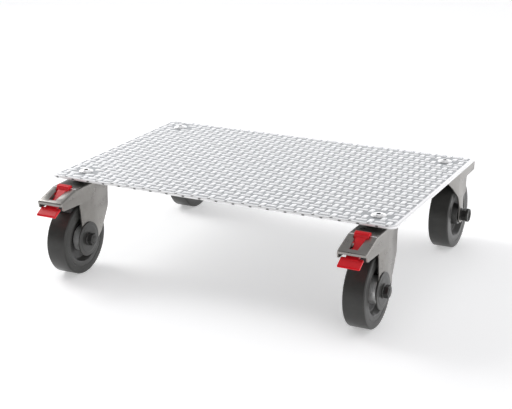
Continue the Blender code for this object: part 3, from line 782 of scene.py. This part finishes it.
# ---------------------------------------------------------------- castors

def put(name, mesh, material, place, body, slot, *nodes, degrees=35.0):
    """Places a mesh drawn in a castor's frame, rides it on its body and hides the CAD parts that it stands
    for.
    """
    piece = finished_object(name, moved(mesh, place), material, degrees)
    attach(piece, body)
    if nodes:
        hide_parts(*nodes)
    return piece


def castor_shapes():
    """Every mesh that the castors share, each drawn once."""
    return {
        "tyre": tyre_mesh(),
        "wheel_centre": wheel_centre_mesh(),
        "cover": cover_mesh(),
        "hub_ring": hub_ring_mesh(),
        "braked_fork": fork_mesh(braked_foot(), True),
        "plain_fork": fork_mesh(plain_foot(), False),
        "braked_bolt": axle_bolt_mesh(BRAKED_SEAT),
        "plain_bolt": axle_bolt_mesh(PLAIN_SEAT),
        "braked_nut": axle_nut_mesh(BRAKED_SEAT, False),
        "plain_nut": axle_nut_mesh(PLAIN_SEAT, True),
        "king_bolt": king_bolt_mesh(),
        "head_plate": head_plate_mesh(),
        "lever": lever_mesh(),
    }


def build_castor(corner, shapes):
    """One castor. The front ones face the other way round, but their axle nuts stay on the +X side."""
    x, y = JOINTS[corner + "_swivel_turn"]["pos_m"][:2]
    front = corner.startswith("front")
    head = shift(x, y)
    place = head @ Matrix.Rotation(math.pi, 4, "Z") if front else head
    straight = head @ shift(y=-2.0 * TRAIL) if front else head
    swivel, wheel = corner + "_swivel", corner + "_wheel"
    kind = "braked" if front else "plain"
    bolt = put(corner + "_king_bolt_detail", shapes["king_bolt"], BOLT_HEAD, head, "deck", "bolt_steel",
               corner + "_king_bolt")
    bolt.data.materials.append(SOCKET_DARK)
    put(corner + "_head_plate_detail", shapes["head_plate"], HEAD_ZINC, head, "deck", "head_zinc",
        corner + "_head_plate")
    fork = put(corner + "_pressed_fork", shapes[kind + "_fork"], ZINC, place, swivel, "fork_zinc",
               corner + "_fork", degrees=30.0)
    fork.data.materials.append(BEND_PAINTED_HIGHLIGHT)
    put(corner + "_tyre_detail", shapes["tyre"], TYRE, place, wheel, "tyre", corner + "_tyre")
    put(corner + "_wheel_centre_detail", shapes["wheel_centre"], NYLON, place, wheel, "wheel_nylon",
        corner + "_wheel_centre")
    put(corner + "_axle_bolt_detail", shapes[kind + "_bolt"], DARK_STEEL, straight, swivel, "bolt_steel",
        corner + "_axle_bolt")
    put(corner + "_axle_nut_detail", shapes[kind + "_nut"], DARK_STEEL, straight, swivel, "bolt_steel",
        corner + "_axle_nut")
    if front:
        put(corner + "_hub_rings", shapes["hub_ring"], BEARING_STEEL, place, wheel, "bearing_steel")
        put(corner + "_cover_right_detail", shapes["cover"], NYLON, straight, swivel, "cover_nylon",
            corner + "_cover_disc_right")
        put(corner + "_cover_left_detail", shapes["cover"], NYLON, place, swivel, "cover_nylon",
            corner + "_cover_disc_left")
        put(corner + "_lever_moulding", shapes["lever"], RED, place, corner + "_lever", "lever_red",
            corner + "_brake_lever", degrees=60.0)


def build_castors():
    shapes = castor_shapes()
    for corner in ("front_left", "front_right", "rear_left", "rear_right"):
        build_castor(corner, shapes)
    for name, thing in frame["nodes"].items():
        for ending, material in CAD_FINISHES.items():
            if name.endswith(ending):
                thing.data.materials.clear()
                thing.data.materials.append(material)


# ---------------------------------------------------------------- stage, lights and camera

FLOOR_GLOW = 0.37
FLOOR_GREY = 0.93
FLOOR_HALF = 30.0
WORLD_STRENGTH = 1.0
SKY_STOPS = ((0.30, 2.0), (0.52, 0.36), (0.93, 0.36), (0.97, 1.3))
DARK_SIDE = (-0.42, -0.85, 0.0)
DARK_STOPS = ((0.35, 1.0), (0.70, 0.12))
KEY_PLACE = (-3.0, 0.4, 2.3)
KEY_TARGET = (0.0, 0.0, 0.1)
KEY_SIZE = 2.2
KEY_POWER = 62.0
CAMERA_PLACE = Vector((1.4317, -3.0353, 1.2622))
CAMERA_AZIMUTH = 25.75
CAMERA_DIP = 18.16
CAMERA_ROLL = 0.2
LENS = 87.8
SENSOR = 36.0


def build_stage():
    mesh = bpy.data.meshes.new("floor")
    half = FLOOR_HALF
    mesh.from_pydata([(-half, -half, 0), (half, -half, 0), (half, half, 0), (-half, half, 0)], [],
                     [(0, 1, 2, 3)])
    material = bpy.data.materials.new("studio_floor")
    material.use_nodes = True
    shader = material.node_tree.nodes["Principled BSDF"]
    shader.inputs["Base Color"].default_value = (FLOOR_GREY, FLOOR_GREY, FLOOR_GREY, 1.0)
    shader.inputs["Roughness"].default_value = 0.9
    shader.inputs["Specular IOR Level"].default_value = 0.1
    shader.inputs["Emission Color"].default_value = (1.0, 1.0, 1.0, 1.0)
    shader.inputs["Emission Strength"].default_value = FLOOR_GLOW
    mesh.materials.append(material)
    floor = bpy.data.objects.new("studio_floor", mesh)
    bpy.context.scene.collection.objects.link(floor)


def area_light(name, place, target, size, power):
    lamp = bpy.data.lights.new(name, "AREA")
    lamp.shape = "DISK"
    lamp.size = size
    lamp.energy = power
    thing = bpy.data.objects.new(name, lamp)
    thing.location = place
    thing.rotation_euler = (Vector(target) - Vector(place)).to_track_quat("-Z", "Y").to_euler()
    bpy.context.scene.collection.objects.link(thing)


def graded(tree, source, stops):
    """A colour ramp over source; each stop is (position, grey level)."""
    ramp = node(tree, "ShaderNodeValToRGB")
    elements = ramp.color_ramp.elements
    while len(elements) < len(stops):
        elements.new(0.5)
    for element, (position, level) in zip(elements, stops):
        element.position = position
        element.color = (level, level, 1.01 * level, 1.0)
    tree.links.new(source, ramp.inputs["Fac"])
    return ramp.outputs["Color"]


def build_light():
    """A bright low surround, grey above it, an overhead softbox, a dark front left and a key light."""
    world = bpy.data.worlds.new("studio")
    world.use_nodes = True
    tree = world.node_tree
    background = tree.nodes["Background"]
    background.inputs["Strength"].default_value = WORLD_STRENGTH
    place = node(tree, "ShaderNodeTexCoord")
    split = node(tree, "ShaderNodeSeparateXYZ")
    tree.links.new(place.outputs["Generated"], split.inputs["Vector"])
    upward = graded(tree, split.outputs["Z"], SKY_STOPS)
    toward = node(tree, "ShaderNodeVectorMath", operation="DOT_PRODUCT")
    toward.inputs[1].default_value = DARK_SIDE
    tree.links.new(place.outputs["Generated"], toward.inputs[0])
    shade = graded(tree, toward.outputs["Value"], DARK_STOPS)
    product = node(tree, "ShaderNodeVectorMath", operation="MULTIPLY")
    tree.links.new(upward, product.inputs[0])
    tree.links.new(shade, product.inputs[1])
    tree.links.new(product.outputs["Vector"], background.inputs["Color"])
    bpy.context.scene.world = world
    area_light("key", KEY_PLACE, KEY_TARGET, KEY_SIZE, KEY_POWER)


def build_camera():
    data = bpy.data.cameras.new("camera")
    data.lens = LENS
    data.sensor_width = SENSOR
    camera = bpy.data.objects.new("camera", data)
    turn = Matrix.Rotation(math.radians(CAMERA_AZIMUTH), 4, "Z")
    tilt = Matrix.Rotation(math.radians(90.0 - CAMERA_DIP), 4, "X")
    roll = Matrix.Rotation(math.radians(CAMERA_ROLL), 4, "Z")
    camera.matrix_world = Matrix.Translation(CAMERA_PLACE) @ turn @ tilt @ roll
    bpy.context.scene.collection.objects.link(camera)
    bpy.context.scene.camera = camera
    bpy.context.scene.view_settings.view_transform = "Standard"


build_camera()
build_stage()
build_light()
build_deck()
build_castors()
